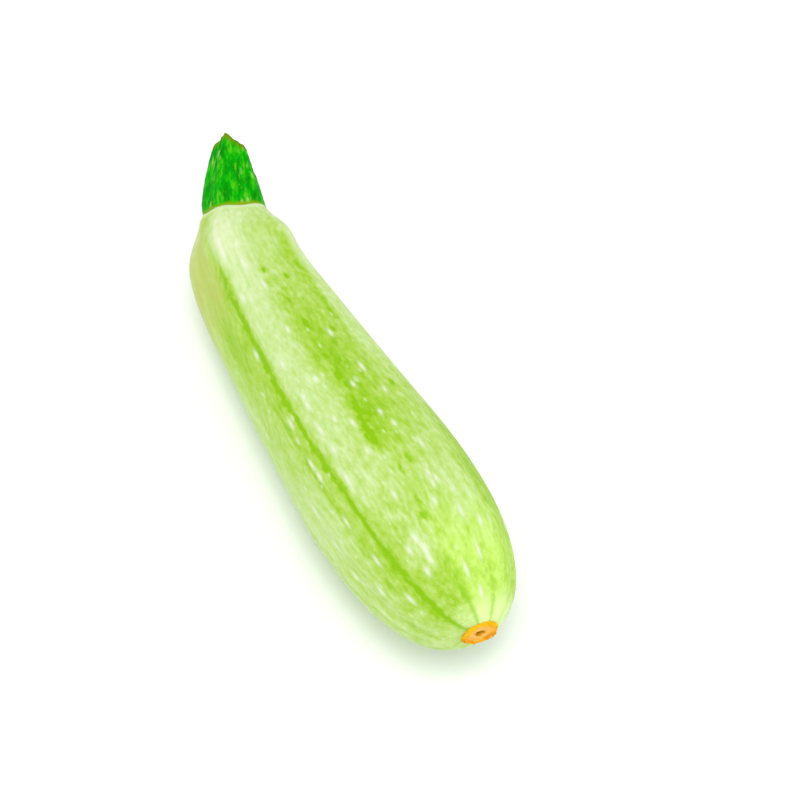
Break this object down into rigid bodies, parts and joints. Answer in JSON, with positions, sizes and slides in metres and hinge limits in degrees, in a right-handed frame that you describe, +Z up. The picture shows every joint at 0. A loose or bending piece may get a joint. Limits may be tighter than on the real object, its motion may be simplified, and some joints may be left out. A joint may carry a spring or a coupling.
{
  "type": "zucchini",
  "caption": "Whole pale green summer squash lying on its side: a ribbed club-shaped fruit, a short dark green ribbed stem cut on the slant, and a small corky disc at the flower end.",
  "frame": {"origin": "on the ground, under the middle of the whole object's bounding box", "axes": "+X along the fruit towards the flower end, +Z up from the surface that it lies on"},
  "size_m": [0.2152, 0.0598, 0.061],
  "materials": {
    "skin": "satin",
    "stem_green": "matte",
    "cork": "matte"
  },
  "bodies": {
    "root": {"fruit": "skin", "stem": "stem_green", "blossom_scar": "cork"}
  },
  "joints": []
}
